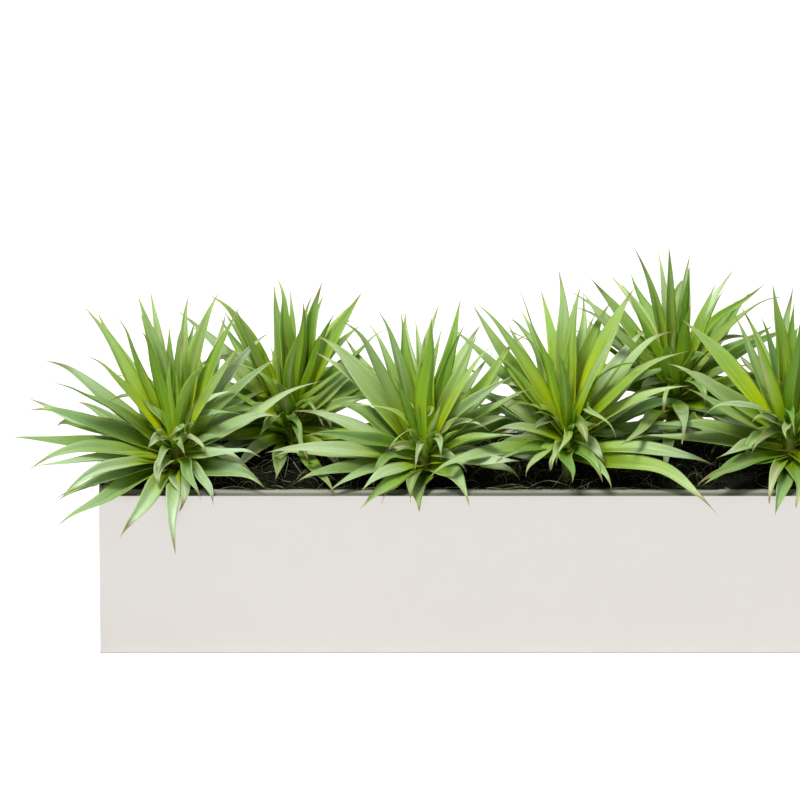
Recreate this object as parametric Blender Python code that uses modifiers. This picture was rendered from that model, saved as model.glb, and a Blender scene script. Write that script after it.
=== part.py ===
"""Six yuccas in a long polished steel trough, planted in soil under a mat of dark moss.

Metres, +Z up. The origin is the middle of the trough's underside, +X runs along the trough and its
front face looks towards -Y. Each yucca is one rosette of sword-shaped leaves on a short stem.
"""

import math
from collections import namedtuple

import bmesh
import bpy
import numpy as np
from mathutils.bvhtree import BVHTree

MM = 0.001

# Trough: steel sheet folded into an open box, its rim turned in as a flat flange
LENGTH = 914.4 * MM
DEPTH = 203.2 * MM
HEIGHT = 203.2 * MM
SHEET = 1.5 * MM
RIM_WIDTH = 18 * MM
FOLD_RADIUS = 2 * MM
FOLD_STEPS = 3

# Filling: soil up to just under the flange, and the moss mat inside the flange's opening
GAP = 0.3 * MM
WALL_GAP = 0.5 * MM
SOIL_TOP = HEIGHT - 16 * MM
MOSS_EDGE = -5 * MM
MOSS_CROWN = 4 * MM
MOSS_CELLS = (26, 5)
LUMP_HEIGHT = 1.5 * MM
LUMP_WAVES = (61, 83)
LUMP_SHIFT = 1.3
SLANTED_WAVES = (137, -70)
SLANTED_SHARE = 0.6

# Stems: each stands in a plain blind hole in the soil and carries a crown that the leaves grow from
STEM_RADIUS = 7 * MM
STEM_BOTTOM = HEIGHT - 115 * MM
STEM_SIDES = 10
HOLE_SIDES = 12
HOLE_OVERSHOOT = 20 * MM
CROWN_PROFILE = ((0, 28), (7, 23), (13, 8), (16, -4), (13, -13), (7, -17))

# Leaves: sword-shaped blades with a groove on top and a keel under it
FIRST_RING = 0.22
LAST_RING = 0.84
FEWEST_RINGS = 3
DEGREES_PER_RING = 38
WIDEST = 0.4
ROOT_SHARE = 0.34
TIP_SHARPNESS = 1.2
GROOVE = 0.12
DEEPEST_GROOVE = 2.5 * MM
BLADE_THICKNESS = 1.5 * MM
ROOT_RADIUS = 3 * MM
ROOT_DROP = 4 * MM
LIGHT = np.array((0.0, -0.8, 0.6))
TURN_TO_LIGHT = 0.5
LEAST_TURN = 0.2
BACK_TO_LIGHT = -0.1

# Leaf tiers from the upright young leaves to the hanging old ones: how many, the range of the rise in
# degrees, the range of the reach in mm, the bend in degrees and the width in mm. The rosettes are open
# to the front, so tiers that rise steeply keep off the headings there, given in degrees.
TIERS = (
    (8, 66, 84, 150, 190, 6, 16),
    (9, 46, 66, 175, 205, 10, 19),
    (9, 22, 46, 165, 205, 18, 20),
    (9, -4, 22, 140, 190, 28, 20),
    (9, -30, -4, 90, 130, 45, 20),
)
NEAR_TIER = 12
OPEN_ABOVE = 20
OPEN_HEADINGS = (-125, -90, -55)

# The draws that make the leaves uneven: headings and sways, and the shares of a tier's bend and width
SEED = 11
LEAD_SWAY = 0.02
SWAY = 0.035
HEADING_DRAW = 0.12
BEND_DRAW = (0.6, 1.5)
WIDTH_DRAW = (0.85, 1.15)

# How far a leaf may be moved aside to clear its neighbours, and by how much it then clears them
CLEAR_WIDTH = 3 * MM
CLEAR_DEPTH = 2.5 * MM
OWN_CLEARANCE = 0.8 * MM
RIM_CLEARANCE = 3 * MM
MOSS_CLEARANCE = 8 * MM
CROWN_REACH = 16 * MM
CROWN_LOW = 40 * MM
CROWN_TOP = 28 * MM
PAST_EDGE = 8 * MM
LEAD_TRIES = 30
RULE_TRIES = 90
STEP_DEGREES = 1.7
STEEPEST_SHARE = 0.35
SHORTER = (1.0, 0.86, 0.72)
GOLDEN_ANGLE = math.pi * (3 - math.sqrt(5))

# The rosettes: where each crown stands along and across the trough, its height above the rim, the
# height over which its leaves grow from it, and its lead leaves, which give it its outline. A lead
# leaf is its tip's place from the crown (right, back, up), all in mm, its bend in degrees and its
# width in mm.
ROSETTES = {
    "yucca_front_left": (-368, -50, 28, 20, (
        (-103, 20, 186, 3, 24), (-68, -10, 194, 3, 18), (-40, 40, 192, 12, 22), (-39, 0, 187, 5, 16),
        (4, 0, 177, 4, 18), (48, 40, 197, 6, 24), (80, 60, 177, 8, 22), (84, -40, 160, 14, 18),
        (35, -60, 146, 55, 15), (-148, 10, 127, 5, 24), (-137, -40, 119, 6, 20),
        (-175, 30, 61, 8, 20), (-170, -15, 74, 10, 22), (-197, -45, 43, 12, 24),
        (-169, -75, 33, 24, 22), (-167, -80, 21, 16, 18), (-143, -88, -16, 30, 18),
        (-148, -97, -1, 34, 16), (-138, -125, -33, 20, 24), (-129, -105, -15, 30, 18),
        (-60, -125, -52, 45, 22), (0, -120, -62, 50, 18), (27, -100, -13, 85, 15),
        (14, -74, -40, 70, 26), (-20, -62, -22, 140, 15), (102, -70, -8, 35, 28),
        (96, -60, 26, 30, 20), (59, -25, 39, 25, 15), (115, -30, 78, 10, 22),
    )),
    "yucca_back_left": (-235, 38, 20, 20, (
        (-132, 30, 150, 8, 23), (-115, 70, 117, 10, 16), (-84, 10, 180, 14, 26), (-80, 50, 135, 4, 18),
        (-4, 0, 199, 3, 24), (3, 50, 168, 5, 16), (35, 20, 188, 6, 24), (40, 60, 157, 8, 14),
        (74, 40, 159, 42, 15), (80, 20, 176, 10, 24), (91, 60, 121, 48, 14), (112, 30, 131, 14, 14),
        (98, -20, 94, 20, 22), (107, -50, 82, 20, 14), (-86, -60, 84, 12, 12), (-11, -60, 92, 14, 22),
        (-36, -72, 30, 60, 24), (43, -60, 75, 30, 16),
    )),
    "yucca_front_mid_left": (-75, -50, 23, 14, (
        (-117, 40, 151, 2, 34), (-88, -10, 190, 4, 23), (-60, 50, 162, 6, 18), (-50, 20, 187, 6, 18),
        (-42, 60, 166, 12, 27), (-36, -30, 125, 4, 12), (10, -20, 196, 4, 24), (21, 30, 163, 6, 16),
        (45, 70, 180, 5, 20), (41, 40, 159, 6, 20), (61, 10, 158, 6, 20), (76, -20, 162, 12, 14),
        (80, 50, 124, 14, 16), (98, -40, 131, 34, 17), (126, -50, 109, 28, 18),
        (107, -70, 64, 30, 16), (110, -70, 20, 34, 20), (56, -85, -2, 45, 28),
        (-11, -76, -36, 70, 30), (-22, -84, -16, 60, 15), (-68, -100, -24, 60, 21),
        (-85, -90, -8, 45, 18), (-61, -62, -10, 120, 14), (-121, -60, -13, 34, 21),
        (-154, -40, -7, 20, 22), (-188, -30, 32, 16, 22), (-195, 20, -4, 30, 22),
        (-141, -70, 58, 46, 20),
    )),
    "yucca_front_mid_right": (93, -50, 40, 26, (
        (-119, 40, 163, 2, 22), (-97, 0, 190, 3, 24), (-74, 70, 133, 5, 18), (-55, 20, 195, 6, 21),
        (-56, 60, 160, 16, 15), (-9, 40, 212, 4, 24), (8, 10, 206, 3, 20), (74, 10, 200, 8, 27),
        (125, 20, 141, 28, 19), (141, -20, 140, 22, 17), (102, 60, 90, 14, 24), (138, -30, 102, 16, 19),
        (175, -40, -8, 36, 20), (185, -85, -36, 34, 26), (36, -70, -17, 130, 18),
        (51, -84, -12, 60, 14), (-20, -60, -6, 140, 17), (-83, -62, 4, 45, 17), (-90, -60, 54, 26, 16),
        (-148, 40, 143, 8, 20), (-105, 20, 64, 12, 22),
    )),
    "yucca_back_right": (222, 38, 60, 20, (
        (-120, 30, 139, 8, 18), (-121, 60, 114, 12, 15), (-102, 10, 156, 5, 22), (-65, 50, 136, 10, 18),
        (-46, 10, 198, 14, 18), (-22, 50, 179, 8, 14), (-13, 0, 207, 6, 20), (15, 30, 181, 5, 14),
        (15, -40, 148, 6, 18), (110, 30, 135, 50, 15), (92, 60, 114, 18, 15), (121, 0, 146, 38, 18),
        (62, -60, 108, 18, 16), (78, -70, 79, 20, 16), (-19, -70, 108, 12, 22), (-120, -10, 111, 10, 16),
    )),
    "yucca_front_right": (354, -50, 40, 20, (
        (-115, 30, 165, 3, 24), (-72, 50, 152, 4, 19), (-53, -20, 178, 5, 22), (-34, 30, 156, 8, 14),
        (-21, 0, 218, 5, 26), (13, -30, 178, 5, 20), (-143, 20, 104, 3, 18), (-124, -30, 118, 5, 22),
        (-128, -50, 96, 8, 20), (-163, -30, 40, 24, 20), (-198, -10, 21, 12, 26),
        (-90, -70, 18, 34, 18), (-103, -85, -11, 28, 24), (-105, -100, -23, 36, 18),
        (-51, -60, 56, 90, 14), (-29, -80, -37, 80, 15), (-13, -85, -50, 60, 21), (14, -85, -47, 60, 21),
    )),
}

LEAF_GREENS = {
    "yucca_front_left": (0.26, 0.43, 0.21),
    "yucca_back_left": (0.29, 0.42, 0.09),
    "yucca_front_mid_left": (0.22, 0.37, 0.14),
    "yucca_front_mid_right": (0.24, 0.41, 0.13),
    "yucca_back_right": (0.23, 0.40, 0.12),
    "yucca_front_right": (0.25, 0.40, 0.13),
}

Crown = namedtuple("Crown", "at neck")
Leaf = namedtuple("Leaf", "root tip bend width sway")


def clear_scene():
    for obj in list(bpy.data.objects):
        bpy.data.objects.remove(obj, do_unlink=True)


def make_collection(name):
    collection = bpy.data.collections.new(name)
    bpy.context.scene.collection.children.link(collection)
    return collection


def make_material(name, colour, roughness, metallic=0.0):
    material = bpy.data.materials.new(name)
    material.use_nodes = True
    shader = material.node_tree.nodes["Principled BSDF"]
    shader.inputs["Base Color"].default_value = (*colour, 1.0)
    shader.inputs["Roughness"].default_value = roughness
    shader.inputs["Metallic"].default_value = metallic
    return material


def add_object(name, mesh, collection, material=None, location=(0, 0, 0)):
    obj = bpy.data.objects.new(name, mesh)
    obj.location = location
    collection.objects.link(obj)
    if material:
        mesh.materials.append(material)
    return obj


def hide_helper(obj):
    obj.hide_render = True
    obj.display_type = "WIRE"


def box_mesh(name, low, high):
    """A box between two corners."""
    bm = bmesh.new()
    bmesh.ops.create_cube(bm, size=1.0)
    size = [b - a for a, b in zip(low, high)]
    middle = [(a + b) / 2 for a, b in zip(low, high)]
    bmesh.ops.scale(bm, vec=size, verts=bm.verts)
    bmesh.ops.translate(bm, vec=middle, verts=bm.verts)
    mesh = bpy.data.meshes.new(name)
    bm.to_mesh(mesh)
    bm.free()
    return mesh


def shade_round(mesh, sharp_degrees):
    """Smooth shading, except across edges that turn by more than this."""
    mesh.shade_smooth()
    mesh.set_sharp_from_angle(angle=math.radians(sharp_degrees))


def apply_modifiers(obj):
    """Give the object the mesh that its modifiers make, and remove them."""
    graph = bpy.context.evaluated_depsgraph_get()
    mesh = bpy.data.meshes.new_from_object(obj.evaluated_get(graph))
    obj.modifiers.clear()
    old = obj.data
    obj.data = mesh
    bpy.data.meshes.remove(old)
    mesh.name = obj.name


def remove_collection(collection):
    for obj in list(collection.objects):
        bpy.data.objects.remove(obj, do_unlink=True)
    bpy.data.collections.remove(collection)


def add_trough(collection, material):
    """An open box with a flange, as one surface; Bevel rounds its folds and Solidify gives the sheet."""
    mesh = box_mesh("trough", (-LENGTH / 2, -DEPTH / 2, 0), (LENGTH / 2, DEPTH / 2, HEIGHT))
    bm = bmesh.new()
    bm.from_mesh(mesh)
    top = [face for face in bm.faces if face.normal.z > 0.5]
    bmesh.ops.inset_region(bm, faces=top, thickness=RIM_WIDTH, use_even_offset=True)
    bmesh.ops.delete(bm, geom=top, context="FACES")
    bm.to_mesh(mesh)
    bm.free()
    mesh.shade_smooth()
    trough = add_object("trough", mesh, collection, material)
    folds = trough.modifiers.new("folds", "BEVEL")
    folds.width = FOLD_RADIUS
    folds.segments = FOLD_STEPS
    folds.limit_method = "ANGLE"
    folds.harden_normals = True
    sheet = trough.modifiers.new("sheet", "SOLIDIFY")
    sheet.thickness = SHEET
    sheet.offset = -1
    sheet.use_even_offset = True


def cut_stem_holes(obj, bottom, cutters):
    """Plain round holes for the stems, from the given height upwards."""
    for name, (x, y, *_) in ROSETTES.items():
        bm = bmesh.new()
        radius = STEM_RADIUS + GAP
        height = HEIGHT + HOLE_OVERSHOOT - bottom
        bmesh.ops.create_cone(
            bm, cap_ends=True, segments=HOLE_SIDES, radius1=radius, radius2=radius, depth=height
        )
        mesh = bpy.data.meshes.new(f"{obj.name}_hole_{name}")
        bm.to_mesh(mesh)
        bm.free()
        cutter = add_object(mesh.name, mesh, cutters, None, (x * MM, y * MM, bottom + height / 2))
        hide_helper(cutter)
        hole = obj.modifiers.new(cutter.name, "BOOLEAN")
        hole.object = cutter
        hole.operation = "DIFFERENCE"


def add_soil(collection, cutters, material):
    """A block that fills the trough to just under its flange."""
    low = (-LENGTH / 2 + SHEET + WALL_GAP, -DEPTH / 2 + SHEET + WALL_GAP, SHEET + GAP)
    high = (-low[0], -low[1], SOIL_TOP)
    soil = add_object("soil_fill", box_mesh("soil_fill", low, high), collection, material)
    cut_stem_holes(soil, STEM_BOTTOM - GAP, cutters)


def moss_height(x, y, half_length, half_depth):
    """The mat's top: low along the flange, crowned between, with two sets of sine lumps over it."""
    crowned = (1 - (x / half_length) ** 8) * (1 - (y / half_depth) ** 2)
    lumps = math.sin(LUMP_WAVES[0] * x + LUMP_SHIFT) * math.sin(LUMP_WAVES[1] * y)
    lumps += SLANTED_SHARE * math.sin(SLANTED_WAVES[0] * x + SLANTED_WAVES[1] * y)
    return HEIGHT + MOSS_EDGE + MOSS_CROWN * crowned + LUMP_HEIGHT * lumps


def add_moss(collection, cutters, material):
    """A slab whose top is a grid raised by the formula, with a flat underside on the soil."""
    half_length = LENGTH / 2 - RIM_WIDTH - WALL_GAP
    half_depth = DEPTH / 2 - RIM_WIDTH - WALL_GAP
    bm = bmesh.new()
    columns, rows = MOSS_CELLS
    bmesh.ops.create_grid(bm, x_segments=columns, y_segments=rows, size=1.0)
    for vert in bm.verts:
        x, y = vert.co.x * half_length, vert.co.y * half_depth
        vert.co = (x, y, moss_height(x, y, half_length, half_depth))
    top = list(bm.faces)
    grown = bmesh.ops.extrude_face_region(bm, geom=top)
    under = [item for item in grown["geom"] if isinstance(item, bmesh.types.BMFace)]
    for vert in {vert for face in under for vert in face.verts}:
        vert.co.z = SOIL_TOP + GAP
    bmesh.ops.dissolve_faces(bm, faces=under)
    bmesh.ops.recalc_face_normals(bm, faces=bm.faces)
    bmesh.ops.triangulate(bm, faces=bm.faces)
    mesh = bpy.data.meshes.new("moss_mat")
    bm.to_mesh(mesh)
    bm.free()
    shade_round(mesh, 60)
    moss = add_object("moss_mat", mesh, collection, material)
    cut_stem_holes(moss, SOIL_TOP - HOLE_OVERSHOOT, cutters)


def spine(leaf, shares):
    """Points along a leaf, and the frame there (along, side, up through the blade's upper face).

    The midrib is a circular arc from root to tip in an upright plane, which starts half its bend
    steeper than its chord and ends half its bend flatter, pushed sideways by the sway. The blade
    then turns part of the way to lie broadside to the light.
    """
    s = np.asarray(shares, float)[:, None]
    chord = leaf.tip - leaf.root
    heading = math.atan2(chord[1], chord[0])
    rise = math.atan2(chord[2], math.hypot(chord[0], chord[1]))
    reach = float(np.linalg.norm(chord))
    bend = max(leaf.bend, 1e-3)
    arc = reach * (bend / 2) / math.sin(bend / 2)
    out = np.array((math.cos(heading), math.sin(heading), 0.0))
    side = np.array((-math.sin(heading), math.cos(heading), 0.0))
    start = rise + bend / 2
    angle = start - bend * s
    flat = arc * (math.sin(start) - np.sin(angle)) / bend
    high = arc * (np.cos(angle) - math.cos(start)) / bend
    up = np.array((0.0, 0.0, 1.0))
    points = leaf.root + flat * out + high * up + leaf.sway * reach * 4 * s * (1 - s) * side
    along = np.cos(angle) * out + np.sin(angle) * up + leaf.sway * 4 * (1 - 2 * s) * side
    along /= np.linalg.norm(along, axis=1, keepdims=True)
    natural = np.cross(along, side)
    natural /= np.linalg.norm(natural, axis=1, keepdims=True)
    lit = LIGHT - (along @ LIGHT)[:, None] * along
    lit /= np.maximum(np.linalg.norm(lit, axis=1, keepdims=True), LEAST_TURN)
    facing = 1.0 if (natural * lit).sum(axis=1).mean() > BACK_TO_LIGHT else -1.0
    normal = (1 - TURN_TO_LIGHT) * natural + TURN_TO_LIGHT * facing * lit
    normal /= np.linalg.norm(normal, axis=1, keepdims=True)
    return points, along, np.cross(normal, along), normal


def width_share(shares):
    """Half width at the root, full width at the widest place, then a long taper to nothing."""
    s = np.asarray(shares, float)
    swell = ROOT_SHARE + (1 - ROOT_SHARE) * np.sin(np.clip(s / WIDEST, 0, 1) * math.pi / 2)
    taper = np.cos(np.clip((s - WIDEST) / (1 - WIDEST), 0, 1) * math.pi / 2) ** TIP_SHARPNESS
    return swell * taper


def blade(leaf, shares, wider=0.0, thicker=0.0):
    """A closed blade as triangles: rings of left edge, groove, right edge and keel, then the tip.

    Each four-sided patch is split from its edge corner to the next ring's middle corner, above and
    below alike, so that the two faces never cross.
    """
    points, _, side, normal = spine(leaf, (*shares, 1.0))
    width = (leaf.width * width_share(shares) + wider)[:, None]
    middle = points[:-1] - np.minimum(GROOVE * width, DEEPEST_GROOVE) * normal[:-1]
    rings = np.stack((
        points[:-1] + side[:-1] * width / 2,
        middle + normal[:-1] * thicker / 2,
        points[:-1] - side[:-1] * width / 2,
        middle - normal[:-1] * (BLADE_THICKNESS + thicker / 2),
    ), axis=1)
    vertices = [*rings.reshape(-1, 3).tolist(), points[-1].tolist()]
    triangles = [(0, 3, 1), (1, 3, 2)]
    for i in range(0, 4 * (len(shares) - 1), 4):
        left, groove, right, keel = range(i, i + 4)
        left_next, groove_next, right_next, keel_next = range(i + 4, i + 8)
        triangles += [
            (left, groove, groove_next), (left, groove_next, left_next),
            (groove, right, groove_next), (right, right_next, groove_next),
            (right, keel, keel_next), (right, keel_next, right_next),
            (keel, left, keel_next), (left, left_next, keel_next),
        ]
    tip = len(vertices) - 1
    last = tip - 4
    triangles += [(last + j, last + (j + 1) % 4, tip) for j in range(4)]
    return vertices, triangles


def ring_shares(leaf):
    """Where a solid leaf's rings stand: the more it bends, the more of them."""
    count = FEWEST_RINGS + int(math.degrees(leaf.bend) / DEGREES_PER_RING)
    return (0.0, *np.linspace(FIRST_RING, LAST_RING, count))


def box_tree(low, high):
    """A box between two corners, for overlap tests."""
    corners = [(x, y, z) for x in (low[0], high[0]) for y in (low[1], high[1]) for z in (low[2], high[2])]
    sides = [(0, 1, 3, 2), (4, 5, 7, 6), (0, 1, 5, 4), (2, 3, 7, 6), (0, 2, 6, 4), (1, 3, 7, 5)]
    return BVHTree.FromPolygons(corners, sides)


class Garden:
    """The leaves placed so far, and what a new one has to clear."""

    OUTER = (0.3, 0.42, 0.57, 0.73, 0.89)
    BEYOND_CROWN = (0.12, 0.28, 0.43, 0.58, 0.74, 0.89)

    def __init__(self, crowns):
        self.leaves = {name: [] for name in crowns}
        self.placed = []
        edge = (LENGTH / 2 + RIM_CLEARANCE, DEPTH / 2 + RIM_CLEARANCE)
        self.fixed = [(None, box_tree((-edge[0], -edge[1], 0), (*edge, HEIGHT + RIM_CLEARANCE)))]
        for name, crown in crowns.items():
            low = crown.at - (CROWN_REACH, CROWN_REACH, CROWN_LOW)
            high = crown.at + (CROWN_REACH, CROWN_REACH, CROWN_TOP)
            self.fixed.append((name, box_tree(low, high)))

    def is_clear(self, name, leaf):
        vertices, triangles = blade(leaf, self.BEYOND_CROWN, CLEAR_WIDTH, CLEAR_DEPTH)
        tree = BVHTree.FromPolygons(vertices, triangles)
        for owner, solid in self.fixed:
            if owner != name and tree.overlap(solid):
                return False
        array = np.array(vertices)
        low, high = array.min(axis=0), array.max(axis=0)
        own = BVHTree.FromPolygons(*blade(leaf, self.OUTER, OWN_CLEARANCE, OWN_CLEARANCE))
        for owner, other_low, other_high, whole, outer in self.placed:
            if (other_low > high).any() or (low > other_high).any():
                continue
            if own.overlap(outer) if owner == name else tree.overlap(whole):
                return False
        return True

    def add(self, name, leaf):
        whole = blade(leaf, (0.0, *self.BEYOND_CROWN))
        array = np.array(whole[0])
        outer = BVHTree.FromPolygons(*blade(leaf, self.OUTER))
        tree = BVHTree.FromPolygons(*whole)
        self.placed.append((name, array.min(axis=0), array.max(axis=0), tree, outer))
        self.leaves[name].append(leaf)


def polar(heading, rise, reach):
    """The point at a compass heading from +X, an angle above level and a distance."""
    level = reach * math.cos(rise)
    return np.array((level * math.cos(heading), level * math.sin(heading), reach * math.sin(rise)))


def leaf_at(crown, heading, rise, reach, form):
    """A leaf whose tip lies there from the crown; the steeper it is, the higher on the crown its root."""
    root = crown.at + polar(heading, 0, ROOT_RADIUS) + (0, 0, crown.neck * math.sin(rise) - ROOT_DROP)
    return Leaf(root, crown.at + polar(heading, rise, reach), *form)


def place(garden, name, crown, aim, form, tries):
    """Add a leaf where it clears everything, and return its heading, or None where there is no room.

    The aim is its tip's heading, rise and reach from the crown, and the form its bend, width and sway.
    It is tried in a widening spiral of headings and rises round the aim, then again cut shorter.
    """
    heading, rise, reach = aim
    for shorter in SHORTER:
        for step in range(tries):
            spread = math.radians(STEP_DEGREES) * math.sqrt(step)
            turned = heading + spread * math.cos(step * GOLDEN_ANGLE) / max(math.cos(rise), STEEPEST_SHARE)
            raised = rise + spread * math.sin(step * GOLDEN_ANGLE)
            leaf = leaf_at(crown, turned, raised, reach * shorter, form)
            if garden.is_clear(name, leaf):
                garden.add(name, leaf)
                return turned
    return None


def lowest_rise(crown, heading, reach):
    """The least rise that keeps a tip over the trough clear of the moss; past its edge, none."""
    tip = crown.at + polar(heading, 0, reach)
    if abs(tip[0]) > LENGTH / 2 + PAST_EDGE or abs(tip[1]) > DEPTH / 2 + PAST_EDGE:
        return -math.pi / 2
    return math.asin((HEIGHT + MOSS_CLEARANCE - crown.at[2]) / reach)


def widest_gap(headings):
    """The heading in the middle of the widest gap between those given."""
    ordered = sorted(heading % (2 * math.pi) for heading in headings)
    if not ordered:
        return math.pi / 2
    following = [*ordered[1:], ordered[0] + 2 * math.pi]
    gaps = [after - before for before, after in zip(ordered, following)]
    widest = gaps.index(max(gaps))
    return ordered[widest] + gaps[widest] / 2


def lay_out_leaves():
    """Every rosette's leaves: first all the lead leaves, then each tier filled up at its widest gaps."""
    crowns = {
        name: Crown(np.array((x * MM, y * MM, HEIGHT + up * MM)), neck * MM)
        for name, (x, y, up, neck, _) in ROSETTES.items()
    }
    garden = Garden(crowns)
    draw = np.random.default_rng(SEED)
    taken = {name: [] for name in ROSETTES}
    for name, (*_, leads) in ROSETTES.items():
        for right, back, up, bend, width in leads:
            heading = math.atan2(back, right)
            rise = math.atan2(up, math.hypot(right, back))
            reach = math.sqrt(right**2 + back**2 + up**2) * MM
            sway = draw.uniform(-LEAD_SWAY, LEAD_SWAY)
            form = (math.radians(bend), width * MM, sway)
            turned = place(garden, name, crowns[name], (heading, rise, reach), form, LEAD_TRIES)
            if turned is not None:
                taken[name].append((math.degrees(rise), turned))
    for count, lowest, highest, shortest, longest, bend, width in TIERS:
        for name, crown in crowns.items():
            leads = sum(lowest <= rise < highest for rise, _ in taken[name])
            headings = [
                heading for rise, heading in taken[name] if lowest - NEAR_TIER < rise < highest + NEAR_TIER
            ]
            if lowest > OPEN_ABOVE:
                headings += [math.radians(heading) for heading in OPEN_HEADINGS]
            for _ in range(count - leads):
                heading = widest_gap(headings) + draw.uniform(-HEADING_DRAW, HEADING_DRAW)
                reach = draw.uniform(shortest, longest) * MM
                rise = max(math.radians(draw.uniform(lowest, highest)), lowest_rise(crown, heading, reach))
                bent = math.radians(bend * draw.uniform(*BEND_DRAW))
                broad = width * MM * draw.uniform(*WIDTH_DRAW)
                form = (bent, broad, draw.uniform(-SWAY, SWAY))
                place(garden, name, crown, (heading, rise, reach), form, RULE_TRIES)
                headings.append(heading)
    return garden.leaves


def keep_largest_island(mesh):
    """Drop loose scraps and the walls of sealed hollows, which leaves the hollows filled."""
    bm = bmesh.new()
    bm.from_mesh(mesh)
    bmesh.ops.triangulate(bm, faces=bm.faces)
    unseen = set(bm.faces)
    islands = []
    while unseen:
        island = [unseen.pop()]
        for face in island:
            for edge in face.edges:
                for other in edge.link_faces:
                    if other in unseen:
                        unseen.remove(other)
                        island.append(other)
        islands.append(island)
    islands.sort(key=len)
    for island in islands[:-1]:
        bmesh.ops.delete(bm, geom=island, context="FACES")
    loose = [vert for vert in bm.verts if not vert.link_faces]
    bmesh.ops.delete(bm, geom=loose, context="VERTS")
    bm.to_mesh(mesh)
    bm.free()


def add_yucca(name, leaves, collection, material):
    """A turned stem and crown, and the blades that grow from it, joined into one body."""
    x, y, up, *_ = ROSETTES[name]
    crown_height = HEIGHT + up * MM
    profile = [(r * MM, crown_height + z * MM) for r, z in CROWN_PROFILE]
    profile += [(STEM_RADIUS, STEM_BOTTOM), (0.0, STEM_BOTTOM)]
    mesh = bpy.data.meshes.new(name)
    mesh.from_pydata([(r, 0, z) for r, z in profile], [(i, i + 1) for i in range(len(profile) - 1)], [])
    yucca = add_object(name, mesh, collection, material, (x * MM, y * MM, 0))
    turned = yucca.modifiers.new("turned", "SCREW")
    turned.steps = turned.render_steps = STEM_SIDES
    turned.use_merge_vertices = True
    turned.merge_threshold = 0.0001
    blades = make_collection(f"{name}_leaves")
    for number, leaf in enumerate(leaves):
        vertices, triangles = blade(leaf, ring_shares(leaf))
        blade_mesh = bpy.data.meshes.new(f"{name}_leaf_{number}")
        blade_mesh.from_pydata(vertices, [], triangles)
        add_object(blade_mesh.name, blade_mesh, blades)
    union = yucca.modifiers.new("leaves", "BOOLEAN")
    union.operation = "UNION"
    union.operand_type = "COLLECTION"
    union.collection = blades
    union.solver = "MANIFOLD"
    apply_modifiers(yucca)
    remove_collection(blades)
    keep_largest_island(yucca.data)
    shade_round(yucca.data, 50)


def main():
    clear_scene()
    planter = make_collection("yucca_planter")
    cutters = make_collection("cutters")
    add_trough(planter, make_material("polished_steel", (0.80, 0.79, 0.77), 0.15, 1.0))
    add_soil(planter, cutters, make_material("soil", (0.04, 0.03, 0.02), 0.95))
    add_moss(planter, cutters, make_material("moss", (0.05, 0.06, 0.03), 0.9))
    for name, leaves in lay_out_leaves().items():
        add_yucca(name, leaves, planter, make_material(f"{name}_green", LEAF_GREENS[name], 0.5))


main()
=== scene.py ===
"""Six yuccas in a long polished steel trough: the finished surfaces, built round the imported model.

Metres, +Z up. The origin is the middle of the trough's underside, +X runs along the trough and its
front face looks towards -Y.
"""

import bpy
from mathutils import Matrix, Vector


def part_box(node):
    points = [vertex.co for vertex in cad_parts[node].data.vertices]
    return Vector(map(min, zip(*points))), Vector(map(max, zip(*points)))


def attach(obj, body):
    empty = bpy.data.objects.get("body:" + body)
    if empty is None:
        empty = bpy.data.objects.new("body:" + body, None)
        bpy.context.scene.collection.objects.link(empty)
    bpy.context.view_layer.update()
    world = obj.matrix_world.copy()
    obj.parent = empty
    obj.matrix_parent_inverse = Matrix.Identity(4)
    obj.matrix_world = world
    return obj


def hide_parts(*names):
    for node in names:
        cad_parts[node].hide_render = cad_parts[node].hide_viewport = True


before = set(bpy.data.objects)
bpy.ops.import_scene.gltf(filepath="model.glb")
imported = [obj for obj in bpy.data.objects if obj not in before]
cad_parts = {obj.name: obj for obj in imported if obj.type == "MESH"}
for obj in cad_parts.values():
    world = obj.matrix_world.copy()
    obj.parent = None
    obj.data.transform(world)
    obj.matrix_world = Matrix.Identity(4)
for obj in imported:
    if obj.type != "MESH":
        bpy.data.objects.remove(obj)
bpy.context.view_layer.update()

import math
from collections import namedtuple

import bpy
import numpy as np
from mathutils.bvhtree import BVHTree


# Trough: stainless steel sheet, folded up into an open box at small radii and polished. Its rim is
# turned in as a flat flange, so that no cut edge shows from outside.

MM = 0.001
_, trough_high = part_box("trough")
HALF_LENGTH = trough_high.x
HALF_DEPTH = trough_high.y
HEIGHT = trough_high.z
SHEET = 1.5 * MM
FLANGE = 18 * MM
FOLD = 0.9 * MM
INNER_FOLD = 0.3 * MM
FOLD_STEPS = 6
CORNER_STEPS = 6
SMALLEST_CORNER = 0.2 * MM
LONG_STEPS, SHORT_STEPS = 60, 14
WALL_ROWS = 14
DISHING = 0.4 * MM
# Painted shade on the flange: how far under the rim it is near black along the fold, and where the pale dusty
# top begins. Then the band at the flange's outer edge where it darkens, and the share of pale left there.
PAINTED_SHADE_FOLD = (1.3 * MM, 0.8 * MM)
BRUSHED_TOP = (0.4 * MM, 0.1 * MM)
PAINTED_SHADE_LIP = (0.5 * FLANGE, 0.22 * FLANGE)
LIP_SHADE_TO_DUST = 0.42
SHARPER = math.radians(40)


def finish(name, **values):
    """A material whose Principled shader has these values on its own sockets."""
    material = bpy.data.materials.new(name)
    material.use_nodes = True
    shader = material.node_tree.nodes["Principled BSDF"]
    for socket, value in values.items():
        shader.inputs[socket.replace("_", " ")].default_value = value
    return material


def add_node(material, kind, inputs, **settings):
    """A shader node; each of its inputs, by name or number, is a value or another node's output."""
    node = material.node_tree.nodes.new(f"ShaderNode{kind}")
    for name, value in settings.items():
        setattr(node, name, value)
    for key, value in inputs.items():
        if isinstance(value, bpy.types.NodeSocket):
            material.node_tree.links.new(value, node.inputs[key])
        else:
            node.inputs[key].default_value = value
    return node


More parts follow.
